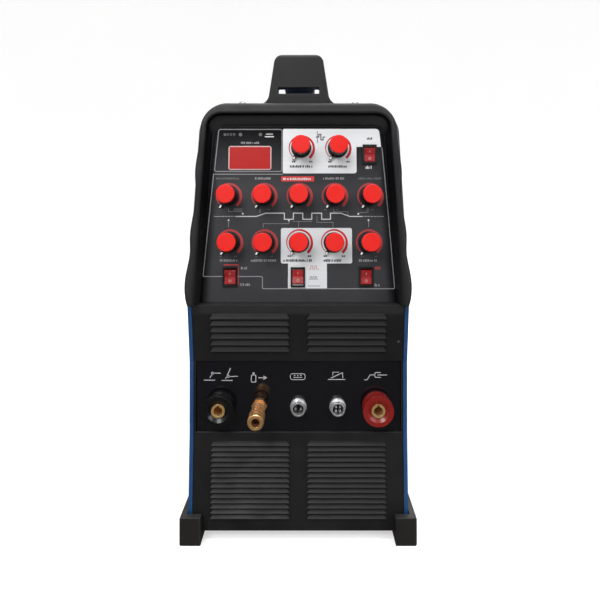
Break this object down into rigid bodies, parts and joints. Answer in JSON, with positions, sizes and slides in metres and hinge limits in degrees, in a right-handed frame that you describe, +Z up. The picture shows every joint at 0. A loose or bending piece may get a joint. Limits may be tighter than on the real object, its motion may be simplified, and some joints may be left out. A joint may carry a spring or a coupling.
{
  "type": "tig welding machine",
  "caption": "Upright TIG welding power source with a hooded control panel, rotary knobs, rockers, sockets and a top carry handle.",
  "frame": {"origin": "on the floor, under the middle of the overall box", "axes": "+X to the right seen from the front, +Y to the back, +Z up; the control panel faces -Y"},
  "size_m": [0.241, 0.472, 0.5095],
  "materials": {
    "cover_paint": "fine textured blue powder coat",
    "black_steel": "black painted sheet",
    "zinc_steel": "zinc plated sheet",
    "foot_rubber": "matt black moulded plastic",
    "fascia_plastic": "finely grained black plastic",
    "gloss_black": "glossy black plastic with white symbols",
    "socket_black": "black moulded plastic",
    "socket_red": "red moulded plastic",
    "brass_metal": "turned brass",
    "chrome_metal": "bright plated metal",
    "hood_plastic": "finely grained dark grey plastic",
    "panel_film": "printed satin film, dark grey with white and silver areas",
    "display_red": "red tinted window",
    "circuit_board": "green circuit board",
    "switch_black": "black moulded plastic",
    "switch_red": "red translucent plastic",
    "cable_rubber": "black cable sheath",
    "aluminium_metal": "extruded heat sink",
    "knob_black": "black fluted knob barrel",
    "knob_red": "red knob cap with a white pointer"
  },
  "bodies": {
    "machine": {"cover": "cover_paint", "base_tray": "zinc_steel", "foot_left": "foot_rubber", "foot_right": "foot_rubber", "front_fascia": "fascia_plastic", "socket_plate": "gloss_black", "negative_socket": "socket_black", "positive_socket": "socket_red", "socket_inserts": "brass_metal", "gas_outlet": "brass_metal", "remote_shells": "chrome_metal", "remote_inserts": "socket_black", "control_hood": "hood_plastic", "carry_handle": "hood_plastic", "control_plate": "black_steel", "panel_overlay": "panel_film", "display_window": "display_red", "potentiometers": "zinc_steel", "control_board": "circuit_board", "rocker_housings": "switch_black", "rear_fascia": "fascia_plastic", "mains_switch_housing": "switch_black", "cable_gland": "switch_black", "power_cable": "cable_rubber", "gas_inlet": "brass_metal", "fan_frame": "switch_black", "fan_guard": "chrome_metal", "power_unit": "aluminium_metal", "body_screws": "chrome_metal"},
    "gas_coupler": {"gas_sleeve": "brass_metal"},
    "fan": {"fan_rotor": "switch_black"},
    "mains_switch": {"mains_rocker": "switch_red"},
    "ac_frequency_knob": {"knob_ac_frequency": "knob_black", "cap_ac_frequency": "knob_red"},
    "ac_balance_knob": {"knob_ac_balance": "knob_black", "cap_ac_balance": "knob_red"},
    "start_current_knob": {"knob_start_current": "knob_black", "cap_start_current": "knob_red"},
    "up_slope_knob": {"knob_up_slope": "knob_black", "cap_up_slope": "knob_red"},
    "weld_current_knob": {"knob_weld_current": "knob_black", "cap_weld_current": "knob_red"},
    "down_slope_knob": {"knob_down_slope": "knob_black", "cap_down_slope": "knob_red"},
    "end_current_knob": {"knob_end_current": "knob_black", "cap_end_current": "knob_red"},
    "pre_flow_knob": {"knob_pre_flow": "knob_black", "cap_pre_flow": "knob_red"},
    "base_current_knob": {"knob_base_current": "knob_black", "cap_base_current": "knob_red"},
    "pulse_frequency_knob": {"knob_pulse_frequency": "knob_black", "cap_pulse_frequency": "knob_red"},
    "pulse_duty_knob": {"knob_pulse_duty": "knob_black", "cap_pulse_duty": "knob_red"},
    "post_flow_knob": {"knob_post_flow": "knob_black", "cap_post_flow": "knob_red"},
    "output_switch": {"rocker_output": "switch_red"},
    "mode_switch": {"rocker_mode": "switch_red"},
    "pulse_switch": {"rocker_pulse": "switch_red"},
    "trigger_switch": {"rocker_trigger": "switch_red"}
  },
  "joints": [
    {"name": "ac_frequency_turn", "type": "hinge", "parent": "machine", "child": "ac_frequency_knob", "pos_m": [0.0027, -0.17602, 0.40551], "axis": [0, 0.9945, -0.1045], "range_deg": [0, 280]},
    {"name": "ac_balance_turn", "type": "hinge", "parent": "machine", "child": "ac_balance_knob", "pos_m": [0.0421, -0.17602, 0.40551], "axis": [0, 0.9945, -0.1045], "range_deg": [0, 280]},
    {"name": "start_current_turn", "type": "hinge", "parent": "machine", "child": "start_current_knob", "pos_m": [-0.0751, -0.18145, 0.3539], "axis": [0, 0.9945, -0.1045], "range_deg": [0, 280]},
    {"name": "up_slope_turn", "type": "hinge", "parent": "machine", "child": "up_slope_knob", "pos_m": [-0.0373, -0.18145, 0.3539], "axis": [0, 0.9945, -0.1045], "range_deg": [0, 280]},
    {"name": "weld_current_turn", "type": "hinge", "parent": "machine", "child": "weld_current_knob", "pos_m": [0.0005, -0.18145, 0.3539], "axis": [0, 0.9945, -0.1045], "range_deg": [0, 280]},
    {"name": "down_slope_turn", "type": "hinge", "parent": "machine", "child": "down_slope_knob", "pos_m": [0.0383, -0.18145, 0.3539], "axis": [0, 0.9945, -0.1045], "range_deg": [0, 280]},
    {"name": "end_current_turn", "type": "hinge", "parent": "machine", "child": "end_current_knob", "pos_m": [0.0761, -0.18145, 0.3539], "axis": [0, 0.9945, -0.1045], "range_deg": [0, 280]},
    {"name": "pre_flow_turn", "type": "hinge", "parent": "machine", "child": "pre_flow_knob", "pos_m": [-0.0733, -0.18663, 0.30457], "axis": [0, 0.9945, -0.1045], "range_deg": [0, 280]},
    {"name": "base_current_turn", "type": "hinge", "parent": "machine", "child": "base_current_knob", "pos_m": [-0.0364, -0.18663, 0.30457], "axis": [0, 0.9945, -0.1045], "range_deg": [0, 280]},
    {"name": "pulse_frequency_turn", "type": "hinge", "parent": "machine", "child": "pulse_frequency_knob", "pos_m": [0.0005, -0.18663, 0.30457], "axis": [0, 0.9945, -0.1045], "range_deg": [0, 280]},
    {"name": "pulse_duty_turn", "type": "hinge", "parent": "machine", "child": "pulse_duty_knob", "pos_m": [0.0374, -0.18663, 0.30457], "axis": [0, 0.9945, -0.1045], "range_deg": [0, 280]},
    {"name": "post_flow_turn", "type": "hinge", "parent": "machine", "child": "post_flow_knob", "pos_m": [0.0743, -0.18663, 0.30457], "axis": [0, 0.9945, -0.1045], "range_deg": [0, 280]},
    {"name": "output_rock", "type": "hinge", "parent": "machine", "child": "output_switch", "pos_m": [0.0765, -0.17425, 0.39849], "axis": [1, 0, 0], "range_deg": [-18, 0]},
    {"name": "mode_rock", "type": "hinge", "parent": "machine", "child": "mode_switch", "pos_m": [-0.0719, -0.18788, 0.2688], "axis": [1, 0, 0], "range_deg": [-18, 0]},
    {"name": "pulse_rock", "type": "hinge", "parent": "machine", "child": "pulse_switch", "pos_m": [-0.0006, -0.18795, 0.2681], "axis": [1, 0, 0], "range_deg": [0, 18]},
    {"name": "trigger_rock", "type": "hinge", "parent": "machine", "child": "trigger_switch", "pos_m": [0.0712, -0.18788, 0.2688], "axis": [1, 0, 0], "range_deg": [-18, 0]},
    {"name": "mains_rock", "type": "hinge", "parent": "machine", "child": "mains_switch", "pos_m": [0.062, 0.2075, 0.33], "axis": [1, 0, 0], "range_deg": [-14, 0]},
    {"name": "fan_spin", "type": "hinge", "parent": "machine", "child": "fan", "pos_m": [0, 0.19, 0.132], "axis": [0, 1, 0], "continuous": true},
    {"name": "gas_sleeve_slide", "type": "slide", "parent": "machine", "child": "gas_coupler", "axis": [0, 1, 0], "range_m": [0, 0.004]}
  ]
}
